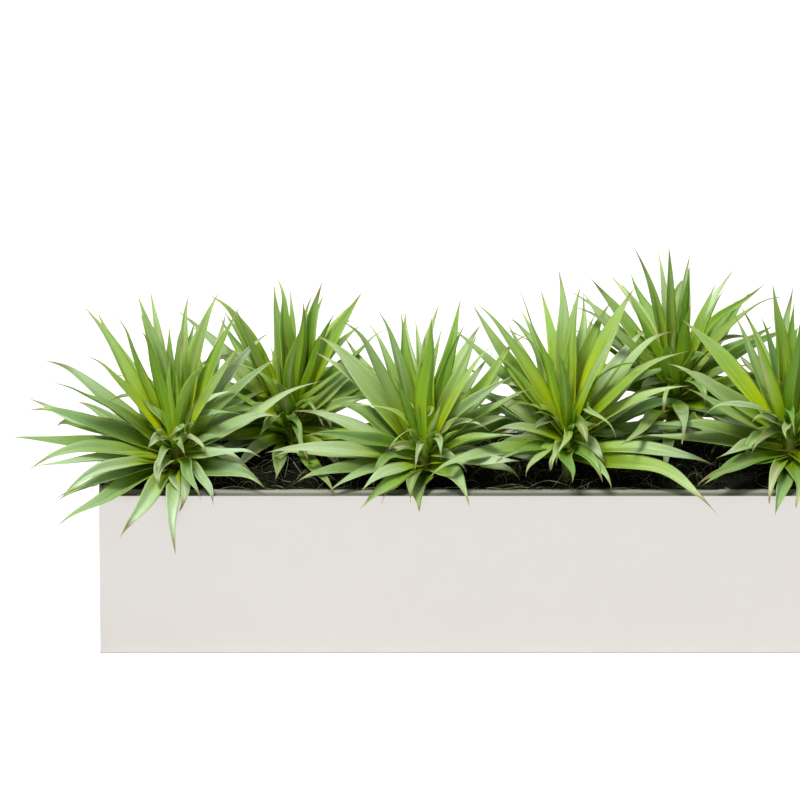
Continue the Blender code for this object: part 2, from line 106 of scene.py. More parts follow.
def to_shader(material, **outputs):
    """Join node outputs to sockets of the material's Principled shader."""
    shader = material.node_tree.nodes["Principled BSDF"]
    for socket, output in outputs.items():
        material.node_tree.links.new(output, shader.inputs[socket.replace("_", " ")])


def object_place(material, stretch=(1.0, 1.0, 1.0)):
    """Object coordinates, scaled along each axis: a small scale draws the pattern out along it."""
    place = add_node(material, "TexCoord", {}).outputs["Object"]
    return add_node(material, "Mapping", {"Vector": place, "Scale": stretch}).outputs["Vector"]


def noise(material, vector, scale, detail=3.0, roughness=0.55):
    """Cloudy noise from 0 to 1, with that many ups and downs a unit of the vector."""
    inputs = {"Vector": vector, "Scale": scale, "Detail": detail, "Roughness": roughness}
    return add_node(material, "TexNoise", inputs).outputs["Fac"]


def remap(material, value, low, high, to_low=0.0, to_high=1.0):
    """The value's range from low to high spread over another range, and held at its ends."""
    inputs = {"Value": value, "From Min": low, "From Max": high, "To Min": to_low, "To Max": to_high}
    return add_node(material, "MapRange", inputs).outputs["Result"]


def maths(material, operation, *values):
    """A number worked out from others, each a value or an output."""
    return add_node(material, "Math", dict(enumerate(values)), operation=operation).outputs[0]


def blend(material, share, first, second, kind="MIX"):
    """Two colours mixed by a share, each a colour or an output."""
    inputs = {0: share, 6: first, 7: second}
    return add_node(material, "Mix", inputs, data_type="RGBA", blend_type=kind).outputs[2]


def bump(material, height, strength, depth):
    """A surface normal from a height pattern that is this deep, in metres."""
    inputs = {"Height": height, "Strength": strength, "Distance": depth}
    return add_node(material, "Bump", inputs).outputs["Normal"]


def set_in_scene(name, data, place=(0, 0, 0), turn=(0, 0, 0)):
    """An object for a mesh, light or camera, at this place and turned by these angles."""
    thing = bpy.data.objects.new(name, data)
    thing.location = place
    thing.rotation_euler = turn
    bpy.context.scene.collection.objects.link(thing)
    return thing


def make_piece(name, points, faces, material):
    """A smooth-shaded mesh object at the origin, riding on the planter's one body."""
    mesh = bpy.data.meshes.new(name)
    mesh.from_pydata(points, [], faces)
    mesh.shade_smooth()
    mesh.materials.append(material)
    piece = set_in_scene(name, mesh)
    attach(piece, "root")
    return piece


def loop_at(inset):
    """A loop round the trough, that far in from its outer faces: a quarter circle at each corner, and
    even steps along each side between them."""
    radius = max(FOLD - inset, SMALLEST_CORNER)
    across = HALF_LENGTH - inset - radius
    back = HALF_DEPTH - inset - radius
    turn = np.linspace(0, math.pi / 2, CORNER_STEPS + 1)[:, None] + np.arange(4) * math.pi / 2
    x = across * np.array((1, -1, -1, 1)) + radius * np.cos(turn)
    y = back * np.array((1, 1, -1, -1)) + radius * np.sin(turn)
    corners = np.stack((x, y), axis=2)
    parts = []
    for number, steps in enumerate((LONG_STEPS, SHORT_STEPS, LONG_STEPS, SHORT_STEPS)):
        following = corners[0, (number + 1) % 4]
        parts += [corners[:, number], np.linspace(corners[-1, number], following, steps + 1)[1:-1]]
    return np.concatenate(parts)


def trough_profile():
    """The folded sheet's section as insets and heights: outside from the floor's edge up and over the
    flange, round its lip, and back down the inside. Folds and lip are arcs."""
    fold = np.linspace(0, math.pi / 2, FOLD_STEPS + 1)
    lip = np.linspace(math.pi / 2, -math.pi / 2, FOLD_STEPS + 1)
    rows = np.linspace(SHEET, HEIGHT - SHEET, WALL_ROWS + 1)[1:-1]
    inner = INNER_FOLD
    bent = SHEET + inner
    half = SHEET / 2
    arcs = (
        (FOLD * (1 - np.sin(fold)), FOLD * (1 - np.cos(fold))),
        (0 * rows, rows),
        (FOLD * (1 - np.cos(fold)), HEIGHT - FOLD * (1 - np.sin(fold))),
        (FLANGE - half + half * np.cos(lip), HEIGHT - half + half * np.sin(lip)),
        (bent - inner * np.sin(fold), HEIGHT - bent + inner * np.cos(fold)),
        (SHEET + 0 * rows, rows[::-1]),
        (bent - inner * np.cos(fold), bent - inner * np.sin(fold)),
    )
    return np.concatenate([np.stack(arc, axis=1) for arc in arcs])


def tube_faces(rings, around):
    """Quads between rings that follow each other, each ring of that many points."""
    corner = np.arange(rings - 1)[:, None] * around + np.arange(around)
    beside = np.arange(rings - 1)[:, None] * around + (np.arange(around) + 1) % around
    return np.stack((corner, beside, beside + around, corner + around), axis=2).reshape(-1, 4)


def trough_surface():
    """The section carried round the loop, closed by the floor's two faces. The long walls are dished
    by a hair in the middle, as sheet metal is: a parabola along them times half a sine wave up."""
    profile = trough_profile()
    loops = np.stack([loop_at(inset) for inset in profile[:, 0]])
    heights = np.broadcast_to(profile[:, 1, None], loops.shape[:2])
    points = np.concatenate((loops, heights[:, :, None]), axis=2)
    x, y, z = points[..., 0], points[..., 1], points[..., 2]
    dish = DISHING * (1 - (x / HALF_LENGTH) ** 2) * np.sin(math.pi * z / HEIGHT)
    points[..., 1] -= np.sign(y) * dish * (np.abs(y) / HALF_DEPTH) ** 20
    around = loops.shape[1]
    last = (len(profile) - 1) * around
    floors = [list(range(around))[::-1], list(range(last, last + around))]
    return points.reshape(-1, 3), tube_faces(len(profile), around).tolist() + floors


def polished_steel():
    """Bright steel with cloudy smears in its gloss, and the finest lengthwise polishing marks. The
    flange on top is brushed and dusty pale grey. Painted shade darkens it towards its outer edge
    and paints its rough fold near black."""
    material = finish("polished_steel")
    smears = noise(material, object_place(material, (3, 3, 6)), 2.0)
    marks = noise(material, object_place(material, (20, 900, 900)), 3.0, 2.0)
    along, across, height = add_node(material, "SeparateXYZ", {"Vector": object_place(material)}).outputs
    painted_shade_fold = remap(material, height, *(HEIGHT - depth for depth in PAINTED_SHADE_FOLD))
    shade_to_dust = remap(material, height, *(HEIGHT - depth for depth in BRUSHED_TOP))
    for distance, half in ((along, HALF_LENGTH), (across, HALF_DEPTH)):
        outwards = maths(material, "ABSOLUTE", distance)
        lip = remap(material, outwards, half - PAINTED_SHADE_LIP[0], half - PAINTED_SHADE_LIP[1], 1.0, LIP_SHADE_TO_DUST)
        shade_to_dust = maths(material, "MULTIPLY", shade_to_dust, lip)
    gloss = remap(material, smears, 0.0, 1.0, 0.28, 0.33)
    face = blend(material, smears, (0.555, 0.53, 0.506, 1.0), (0.57, 0.545, 0.52, 1.0))
    # Painted shade: near black along the fold and mixed into the flange's outer band, with pale dusty grey on
    # the rest.
    edge = blend(material, shade_to_dust, (0.09, 0.088, 0.08, 1.0), (0.43, 0.42, 0.34, 1.0))
    to_shader(
        material,
        Base_Color=blend(material, painted_shade_fold, face, edge),
        Metallic=remap(material, shade_to_dust, 0.0, 1.0, 1.0, 0.5),
        Roughness=remap(material, painted_shade_fold, 0.0, 1.0, gloss, 0.6),
        Normal=bump(material, marks, 0.05, 0.000002),
    )
    return material


trough = make_piece("steel_trough", *trough_surface(), polished_steel())
trough.data.set_sharp_from_angle(angle=SHARPER)
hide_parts("trough")


# Soil: loose potting mix that fills the trough to just under the flange and holds the stems. The moss
# covers all of it.

def potting_mix():
    """Dark crumbs: cells for the grains, with paler bark among them."""
    material = finish("potting_mix", Roughness=0.95)
    place = object_place(material)
    grain = add_node(material, "TexVoronoi", {"Vector": place, "Scale": 260.0}).outputs["Distance"]
    bark = remap(material, noise(material, place, 90.0), 0.6, 0.7)
    to_shader(
        material,
        Base_Color=blend(material, bark, (0.018, 0.012, 0.008, 1.0), (0.09, 0.055, 0.03, 1.0)),
        Normal=bump(material, grain, 0.8, 0.002),
    )
    return material


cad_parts["soil_fill"].material_slots[0].material = potting_mix()


# Moss bed: a mat of dark dried moss, laid on the soil inside the flange. Its top is low along the
# steel and lumpy between the plants. Its colour is painted nearly black: its own dark colour with painted
# shade from its own strands.

moss_low, moss_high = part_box("moss_mat")
MOSS_LENGTH = moss_high.x
MOSS_DEPTH = moss_high.y
MOSS_BOTTOM = moss_low.z
MOSS_EDGE = -5 * MM
MOSS_CROWN = 4 * MM
LUMP_HEIGHT = 1.5 * MM
LUMP_WAVES = (61, 83)
LUMP_SHIFT = 1.3
SLANTED_WAVES = (137, -70)
SLANTED_SHARE = 0.6
TUFT_HEIGHT = 1.6 * MM
TUFT_FADE = 5 * MM
TUFT_WAVES = ((310, 270, 0.4), (-420, 390, 1.9), (530, 610, 3.1), (720, -560, 4.2))
BED_CELLS = (260, 52)


def moss_level(x, y):
    """The mat's top: low along the flange, crowned between, with two sets of sine lumps over it."""
    x = np.clip(x, -MOSS_LENGTH, MOSS_LENGTH)
    y = np.clip(y, -MOSS_DEPTH, MOSS_DEPTH)
    crowned = (1 - (x / MOSS_LENGTH) ** 8) * (1 - (y / MOSS_DEPTH) ** 2)
    lumps = np.sin(LUMP_WAVES[0] * x + LUMP_SHIFT) * np.sin(LUMP_WAVES[1] * y)
    lumps += SLANTED_SHARE * np.sin(SLANTED_WAVES[0] * x + SLANTED_WAVES[1] * y)
    return HEIGHT + MOSS_EDGE + MOSS_CROWN * crowned + LUMP_HEIGHT * lumps


def bed_surface():
    """A grid raised to the mat's level plus small tufts, a sum of crossed sine waves that fades at the
    edges, closed by straight sides and a flat underside."""
    columns, rows = BED_CELLS
    x, y = np.meshgrid(
        np.linspace(-MOSS_LENGTH, MOSS_LENGTH, columns + 1),
        np.linspace(-MOSS_DEPTH, MOSS_DEPTH, rows + 1),
    )
    tufts = sum(np.sin(a * x + b * y + shift) for a, b, shift in TUFT_WAVES) / len(TUFT_WAVES)
    fade = np.minimum((MOSS_DEPTH - np.abs(y)) / TUFT_FADE, 1)
    fade *= np.minimum((MOSS_LENGTH - np.abs(x)) / TUFT_FADE, 1)
    z = moss_level(x, y) + TUFT_HEIGHT * tufts * fade
    top = np.stack((x, y, z), axis=2).reshape(-1, 3)
    wide = columns + 1
    corner = (np.arange(rows)[:, None] * wide + np.arange(columns)).ravel()
    quads = np.stack((corner, corner + 1, corner + 1 + wide, corner + wide), axis=1)
    rim = np.concatenate((
        np.arange(columns),
        columns + np.arange(rows) * wide,
        rows * wide + np.arange(columns, 0, -1),
        np.arange(rows, 0, -1) * wide,
    ))
    under = top[rim].copy()
    under[:, 2] = MOSS_BOTTOM
    low = len(top) + np.arange(len(rim))
    sides = np.stack((rim, low, np.roll(low, -1), np.roll(rim, -1)), axis=1)
    return np.concatenate((top, under)), quads.tolist() + sides.tolist() + [low[::-1].tolist()]


def dark_moss():
    """Nearly black green and brown: its own dark colour with painted shade from the strands over it. It is
    matted, with a rough nap.
    """
    material = finish("dark_moss", Roughness=1.0, Specular_IOR_Level=0.1)
    place = object_place(material)
    patches = noise(material, place, 60.0, 5.0)
    nap = noise(material, place, 900.0, 4.0)
    to_shader(
        material,
        Base_Color=blend(material, patches, (0.002, 0.0025, 0.001, 1.0), (0.009, 0.011, 0.004, 1.0)),
        Normal=bump(material, nap, 1.0, 0.002),
    )
    return material


moss_bed = make_piece("moss_bed", *bed_surface(), dark_moss())
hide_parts("moss_mat")


# Moss strands: the loose dry strands that stand out of the mat and lie tangled over one another. Most
# are dark, some are khaki, and a few have strayed over the flange and hang past the rim.

STRAND_SEED = 5
STRAND_POINTS = 9
STRANDS = 2600
BACK_STRANDS, BACK_SWING = 130, 0.5
BACK_HALF_LENGTH = MOSS_LENGTH + 8 * MM
BACK_STRIP = (MOSS_DEPTH - 12 * MM, HALF_DEPTH - 6 * MM)
END_STRANDS, END_SWING = 40, 0.8
END_STRIP = 14 * MM
STRAND_LENGTHS = (18 * MM, 60 * MM)
STRAND_RADII = (0.22 * MM, 0.5 * MM)
STRAND_CURL = 2.6
STRAND_ARCH = (1 * MM, 24 * MM)
STRAND_ROOM = 8 * MM
FLATTEST = 0.2
FLANGE_LIFT = 0.8 * MM
FLANGE_LAP = 2 * MM
FRONT_STRAY, BACK_STRAY, END_STRAY = -3 * MM, 2 * MM, 9 * MM
HANG = 60.0


def strand_ground(x, y):
    """What a strand lies on: the mat, the flange beside it, and past the rim a curve that falls."""
    over = np.maximum(np.abs(x) - MOSS_LENGTH, np.abs(y) - MOSS_DEPTH) > -FLANGE_LAP
    level = np.where(over, HEIGHT + FLANGE_LIFT, moss_level(x, y))
    past = np.maximum(np.maximum(np.abs(x) - HALF_LENGTH, np.abs(y) - HALF_DEPTH), 0)
    return level - HANG * past**2


def draw_strands(draw):
    """Start, heading, length and arch of every strand: over the whole mat, then more along the back
    and at both ends, where they lie across the flange."""
    x = draw.uniform(-MOSS_LENGTH, MOSS_LENGTH, STRANDS)
    y = draw.uniform(-MOSS_DEPTH, MOSS_DEPTH, STRANDS)
    heading = draw.uniform(-math.pi, math.pi, STRANDS)
    x = np.append(x, draw.uniform(-BACK_HALF_LENGTH, BACK_HALF_LENGTH, BACK_STRANDS))
    y = np.append(y, draw.uniform(*BACK_STRIP, BACK_STRANDS))
    sideways = draw.normal(0, BACK_SWING, BACK_STRANDS) + math.pi * draw.integers(0, 2, BACK_STRANDS)
    heading = np.append(heading, sideways)
    end = draw.integers(0, 2, END_STRANDS) * 2 - 1
    x = np.append(x, end * (MOSS_LENGTH - draw.uniform(0, END_STRIP, END_STRANDS)))
    y = np.append(y, draw.uniform(-MOSS_DEPTH, MOSS_DEPTH, END_STRANDS))
    outwards = draw.normal(0, END_SWING, END_STRANDS) + np.where(end > 0, 0, math.pi)
    heading = np.append(heading, outwards)
    count = len(x)
    length = draw.uniform(*STRAND_LENGTHS, count)
    arch = draw.uniform(*STRAND_ARCH, count) * draw.uniform(0.2, 1.0, count)
    return x, y, heading, length, arch


def unit(vectors, least=1e-9):
    """The same directions at a length of 1, or less where a vector is shorter than the least."""
    return vectors / np.maximum(np.linalg.norm(vectors, axis=-1, keepdims=True), least)


def strand_surface(draw):
    """Three-sided tubes. Each heading turns evenly along its strand, whose height is the ground's plus
    half a sine wave, flatter over the flange, and its radius narrows at both ends."""
    x, y, heading, length, arch = draw_strands(draw)
    count = len(x)
    share = np.linspace(0, 1, STRAND_POINTS)
    turned = heading[:, None] + draw.uniform(-STRAND_CURL, STRAND_CURL, count)[:, None] * share
    step = (length / (STRAND_POINTS - 1))[:, None]
    px = x[:, None] + np.cumsum(np.cos(turned) * step, axis=1)
    py = y[:, None] + np.cumsum(np.sin(turned) * step, axis=1)
    px = np.clip(px, -HALF_LENGTH - END_STRAY, HALF_LENGTH + END_STRAY)
    py = np.clip(py, -HALF_DEPTH + FLANGE + FRONT_STRAY, HALF_DEPTH + BACK_STRAY)
    inside = np.minimum(MOSS_LENGTH - np.abs(px), MOSS_DEPTH - np.abs(py)) / STRAND_ROOM
    pz = strand_ground(px, py) + arch[:, None] * np.sin(math.pi * share) * np.clip(inside, FLATTEST, 1)
    centre = np.stack((px, py, pz), axis=2)
    along = unit(np.gradient(centre, axis=1))
    side = unit(np.cross(along, (0, 0, 1.0)))
    over = np.cross(side, along)
    radius = draw.uniform(*STRAND_RADII, count)[:, None] * (0.35 + 0.65 * np.sin(math.pi * share) ** 0.5)
    turn = np.arange(3) * 2 * math.pi / 3
    ring = np.cos(turn)[:, None] * side[:, :, None] + np.sin(turn)[:, None] * over[:, :, None]
    points = centre[:, :, None] + radius[:, :, None, None] * ring
    offset = (np.arange(count) * STRAND_POINTS * 3)[:, None, None]
    quads = (tube_faces(STRAND_POINTS, 3)[:, ::-1] + offset).reshape(-1, 4)
    last = (STRAND_POINTS - 1) * 3
    ends = (np.array(((0, 1, 2), (last + 2, last + 1, last))) + offset).reshape(-1, 3)
    tone = draw.uniform(0, 1, count)
    tones = np.concatenate((np.repeat(tone, (STRAND_POINTS - 1) * 3), np.repeat(tone, 2)))
    return points.reshape(-1, 3), quads.tolist() + ends.tolist(), tones


def set_face_values(piece, name, values):
    """Keep one number for each face, for its material to read."""
    attribute = piece.data.attributes.new(name, "FLOAT", "FACE")
    attribute.data.foreach_set("value", np.asarray(values, np.float32))


def face_value(material, name):
    """A number that set_face_values kept."""
    return add_node(material, "Attribute", {}, attribute_name=name).outputs["Fac"]


def colour_along(material, share, stops):
    """A colour ramp from (place, colour) stops."""
    ramp = add_node(material, "ValToRGB", {"Fac": share})
    elements = ramp.color_ramp.elements
    elements[0].position, elements[0].color = stops[0][0], (*stops[0][1], 1.0)
    elements[1].position, elements[1].color = stops[-1][0], (*stops[-1][1], 1.0)
    for place, colour in stops[1:-1]:
        elements.new(place).color = (*colour, 1.0)
    return ramp.outputs["Color"]


def dry_strand():
    """Each strand has its own tone, from nearly black green through olive to pale straw."""
    material = finish("dry_strand", Roughness=0.8, Specular_IOR_Level=0.25)
    shade = colour_along(material, face_value(material, "tone"), (
        (0.0, (0.003, 0.004, 0.002)), (0.5, (0.008, 0.01, 0.004)),
        (0.8, (0.05, 0.06, 0.022)), (1.0, (0.33, 0.36, 0.19)),
    ))
    to_shader(material, Base_Color=shade)
    return material


strand_points, strand_faces, strand_tones = strand_surface(np.random.default_rng(STRAND_SEED))
moss_strands = make_piece("moss_strands", strand_points, strand_faces, dry_strand())
set_face_values(moss_strands, "tone", strand_tones)


# Where the leaves grow: six rosettes in two staggered rows, each leaf a sword-shaped blade on a short
# stem. The lead leaves give each rosette its outline and tiers of further leaves fill it, as in the
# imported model, whose leaves these lie along.

WIDEST = 0.4
ROOT_SHARE = 0.34
TIP_SHARPNESS = 1.2
GROOVE = 0.12
DEEPEST_GROOVE = 2.5 * MM
BLADE_THICKNESS = 1.5 * MM
ROOT_RADIUS = 3 * MM
ROOT_DROP = 4 * MM
LIGHT = np.array((0.0, -0.8, 0.6))
TURN_TO_LIGHT = 0.5
LEAST_TURN = 0.2
BACK_TO_LIGHT = -0.1

# Leaf tiers from the upright young leaves to the hanging old ones: how many, the range of the rise in
# degrees, the range of the reach in mm, the bend in degrees and the width in mm. The rosettes are open
# to the front, so tiers that rise steeply keep off the headings there, given in degrees.
TIERS = (
    (8, 66, 84, 150, 190, 6, 16),
    (9, 46, 66, 175, 205, 10, 19),
    (9, 22, 46, 165, 205, 18, 20),
    (9, -4, 22, 140, 190, 28, 20),
    (9, -30, -4, 90, 130, 45, 20),
)
NEAR_TIER = 12
OPEN_ABOVE = 20
OPEN_HEADINGS = (-125, -90, -55)

# The draws that make the leaves uneven: headings and sways, and the shares of a tier's bend and width
SEED = 11
LEAD_SWAY = 0.02
SWAY = 0.035
HEADING_DRAW = 0.12
BEND_DRAW = (0.6, 1.5)
WIDTH_DRAW = (0.85, 1.15)

# How far a leaf may be moved aside to clear its neighbours, and by how much it then clears them
CLEAR_WIDTH = 3 * MM
CLEAR_DEPTH = 2.5 * MM
OWN_CLEARANCE = 0.8 * MM
RIM_CLEARANCE = 3 * MM
MOSS_CLEARANCE = 8 * MM
CROWN_REACH = 16 * MM
CROWN_LOW = 40 * MM
CROWN_TOP = 28 * MM
PAST_EDGE = 8 * MM
LEAD_TRIES = 30
RULE_TRIES = 90
STEP_DEGREES = 1.7
STEEPEST_SHARE = 0.35
SHORTER = (1.0, 0.86, 0.72)
GOLDEN_ANGLE = math.pi * (3 - math.sqrt(5))

# The rosettes: where each crown stands along and across the trough, its height above the rim, the
# height over which its leaves grow from it, and its lead leaves, which give it its outline. A lead
# leaf is its tip's place from the crown (right, back, up), all in mm, its bend in degrees and its
# width in mm.
ROSETTES = {
    "yucca_front_left": (-368, -50, 28, 20, (
        (-103, 20, 186, 3, 24), (-68, -10, 194, 3, 18), (-40, 40, 192, 12, 22), (-39, 0, 187, 5, 16),
        (4, 0, 177, 4, 18), (48, 40, 197, 6, 24), (80, 60, 177, 8, 22), (84, -40, 160, 14, 18),
        (35, -60, 146, 55, 15), (-148, 10, 127, 5, 24), (-137, -40, 119, 6, 20),
        (-175, 30, 61, 8, 20), (-170, -15, 74, 10, 22), (-197, -45, 43, 12, 24),
        (-169, -75, 33, 24, 22), (-167, -80, 21, 16, 18), (-143, -88, -16, 30, 18),
        (-148, -97, -1, 34, 16), (-138, -125, -33, 20, 24), (-129, -105, -15, 30, 18),
        (-60, -125, -52, 45, 22), (0, -120, -62, 50, 18), (27, -100, -13, 85, 15),
        (14, -74, -40, 70, 26), (-20, -62, -22, 140, 15), (102, -70, -8, 35, 28),
        (96, -60, 26, 30, 20), (59, -25, 39, 25, 15), (115, -30, 78, 10, 22),
    )),
    "yucca_back_left": (-235, 38, 20, 20, (
        (-132, 30, 150, 8, 23), (-115, 70, 117, 10, 16), (-84, 10, 180, 14, 26), (-80, 50, 135, 4, 18),
        (-4, 0, 199, 3, 24), (3, 50, 168, 5, 16), (35, 20, 188, 6, 24), (40, 60, 157, 8, 14),
        (74, 40, 159, 42, 15), (80, 20, 176, 10, 24), (91, 60, 121, 48, 14), (112, 30, 131, 14, 14),
        (98, -20, 94, 20, 22), (107, -50, 82, 20, 14), (-86, -60, 84, 12, 12), (-11, -60, 92, 14, 22),
        (-36, -72, 30, 60, 24), (43, -60, 75, 30, 16),
    )),
    "yucca_front_mid_left": (-75, -50, 23, 14, (
        (-117, 40, 151, 2, 34), (-88, -10, 190, 4, 23), (-60, 50, 162, 6, 18), (-50, 20, 187, 6, 18),
        (-42, 60, 166, 12, 27), (-36, -30, 125, 4, 12), (10, -20, 196, 4, 24), (21, 30, 163, 6, 16),
        (45, 70, 180, 5, 20), (41, 40, 159, 6, 20), (61, 10, 158, 6, 20), (76, -20, 162, 12, 14),
        (80, 50, 124, 14, 16), (98, -40, 131, 34, 17), (126, -50, 109, 28, 18),
        (107, -70, 64, 30, 16), (110, -70, 20, 34, 20), (56, -85, -2, 45, 28),
        (-11, -76, -36, 70, 30), (-22, -84, -16, 60, 15), (-68, -100, -24, 60, 21),
        (-85, -90, -8, 45, 18), (-61, -62, -10, 120, 14), (-121, -60, -13, 34, 21),
        (-154, -40, -7, 20, 22), (-188, -30, 32, 16, 22), (-195, 20, -4, 30, 22),
        (-141, -70, 58, 46, 20),
    )),
    "yucca_front_mid_right": (93, -50, 40, 26, (
        (-119, 40, 163, 2, 22), (-97, 0, 190, 3, 24), (-74, 70, 133, 5, 18), (-55, 20, 195, 6, 21),
        (-56, 60, 160, 16, 15), (-9, 40, 212, 4, 24), (8, 10, 206, 3, 20), (74, 10, 200, 8, 27),
        (125, 20, 141, 28, 19), (141, -20, 140, 22, 17), (102, 60, 90, 14, 24), (138, -30, 102, 16, 19),
        (175, -40, -8, 36, 20), (185, -85, -36, 34, 26), (36, -70, -17, 130, 18),
        (51, -84, -12, 60, 14), (-20, -60, -6, 140, 17), (-83, -62, 4, 45, 17), (-90, -60, 54, 26, 16),
        (-148, 40, 143, 8, 20), (-105, 20, 64, 12, 22),
    )),
    "yucca_back_right": (222, 38, 60, 20, (
        (-120, 30, 139, 8, 18), (-121, 60, 114, 12, 15), (-102, 10, 156, 5, 22), (-65, 50, 136, 10, 18),
        (-46, 10, 198, 14, 18), (-22, 50, 179, 8, 14), (-13, 0, 207, 6, 20), (15, 30, 181, 5, 14),
        (15, -40, 148, 6, 18), (110, 30, 135, 50, 15), (92, 60, 114, 18, 15), (121, 0, 146, 38, 18),
        (62, -60, 108, 18, 16), (78, -70, 79, 20, 16), (-19, -70, 108, 12, 22), (-120, -10, 111, 10, 16),
    )),
    "yucca_front_right": (354, -50, 40, 20, (
        (-115, 30, 165, 3, 24), (-72, 50, 152, 4, 19), (-53, -20, 178, 5, 22), (-34, 30, 156, 8, 14),
        (-21, 0, 218, 5, 26), (13, -30, 178, 5, 20), (-143, 20, 104, 3, 18), (-124, -30, 118, 5, 22),
        (-128, -50, 96, 8, 20), (-163, -30, 40, 24, 20), (-198, -10, 21, 12, 26),
        (-90, -70, 18, 34, 18), (-103, -85, -11, 28, 24), (-105, -100, -23, 36, 18),
        (-51, -60, 56, 90, 14), (-29, -80, -37, 80, 15), (-13, -85, -50, 60, 21), (14, -85, -47, 60, 21),
    )),
}

Crown = namedtuple("Crown", "at neck")
Leaf = namedtuple("Leaf", "root tip bend width sway")
crowns = {
    name: Crown(np.array((right * MM, back * MM, HEIGHT + up * MM)), neck * MM)
    for name, (right, back, up, neck, _) in ROSETTES.items()
}


def spine(leaf, shares):
    """Points along a leaf, and the frame there (along, side, up through the blade's upper face).

    The midrib is a circular arc from root to tip in an upright plane, which starts half its bend
    steeper than its chord and ends half its bend flatter, pushed sideways by the sway. The blade
    then turns part of the way to lie broadside to the light.
    """
    s = np.asarray(shares, float)[:, None]
    chord = leaf.tip - leaf.root
    heading = math.atan2(chord[1], chord[0])
    rise = math.atan2(chord[2], math.hypot(chord[0], chord[1]))
    reach = float(np.linalg.norm(chord))
    bend = max(leaf.bend, 1e-3)
    arc = reach * (bend / 2) / math.sin(bend / 2)
    out = np.array((math.cos(heading), math.sin(heading), 0.0))
    side = np.array((-math.sin(heading), math.cos(heading), 0.0))
    start = rise + bend / 2
    angle = start - bend * s
    flat = arc * (math.sin(start) - np.sin(angle)) / bend
    high = arc * (np.cos(angle) - math.cos(start)) / bend
    up = np.array((0.0, 0.0, 1.0))
    points = leaf.root + flat * out + high * up + leaf.sway * reach * 4 * s * (1 - s) * side
    along = np.cos(angle) * out + np.sin(angle) * up + leaf.sway * 4 * (1 - 2 * s) * side
    along = unit(along)
    natural = unit(np.cross(along, side))
    lit = unit(LIGHT - (along @ LIGHT)[:, None] * along, LEAST_TURN)
    facing = 1.0 if (natural * lit).sum(axis=1).mean() > BACK_TO_LIGHT else -1.0
    normal = unit((1 - TURN_TO_LIGHT) * natural + TURN_TO_LIGHT * facing * lit)
    return points, along, np.cross(normal, along), normal


def width_share(shares):
    """Half width at the root, full width at the widest place, then a long taper to nothing."""
    s = np.asarray(shares, float)
    swell = ROOT_SHARE + (1 - ROOT_SHARE) * np.sin(np.clip(s / WIDEST, 0, 1) * math.pi / 2)
    taper = np.cos(np.clip((s - WIDEST) / (1 - WIDEST), 0, 1) * math.pi / 2) ** TIP_SHARPNESS
    return swell * taper


def blade(leaf, shares, wider=0.0, thicker=0.0):
    """A closed blade as triangles: rings of left edge, groove, right edge and keel, then the tip.

    Each four-sided patch is split from its edge corner to the next ring's middle corner, above and
    below alike, so that the two faces never cross.
    """
    points, _, side, normal = spine(leaf, (*shares, 1.0))
    width = (leaf.width * width_share(shares) + wider)[:, None]
    middle = points[:-1] - np.minimum(GROOVE * width, DEEPEST_GROOVE) * normal[:-1]
    rings = np.stack((
        points[:-1] + side[:-1] * width / 2,
        middle + normal[:-1] * thicker / 2,
        points[:-1] - side[:-1] * width / 2,
        middle - normal[:-1] * (BLADE_THICKNESS + thicker / 2),
    ), axis=1)
    vertices = [*rings.reshape(-1, 3).tolist(), points[-1].tolist()]
    triangles = [(0, 3, 1), (1, 3, 2)]
    for i in range(0, 4 * (len(shares) - 1), 4):
        left, groove, right, keel = range(i, i + 4)
        left_next, groove_next, right_next, keel_next = range(i + 4, i + 8)
        triangles += [
            (left, groove, groove_next), (left, groove_next, left_next),
            (groove, right, groove_next), (right, right_next, groove_next),
            (right, keel, keel_next), (right, keel_next, right_next),
            (keel, left, keel_next), (left, left_next, keel_next),
        ]
    tip = len(vertices) - 1
    last = tip - 4
    triangles += [(last + j, last + (j + 1) % 4, tip) for j in range(4)]
    return vertices, triangles


def box_tree(low, high):
    """A box between two corners, for overlap tests."""
    corners = [(x, y, z) for x in (low[0], high[0]) for y in (low[1], high[1]) for z in (low[2], high[2])]
    sides = [(0, 1, 3, 2), (4, 5, 7, 6), (0, 1, 5, 4), (2, 3, 7, 6), (0, 2, 6, 4), (1, 3, 7, 5)]
    return BVHTree.FromPolygons(corners, sides)


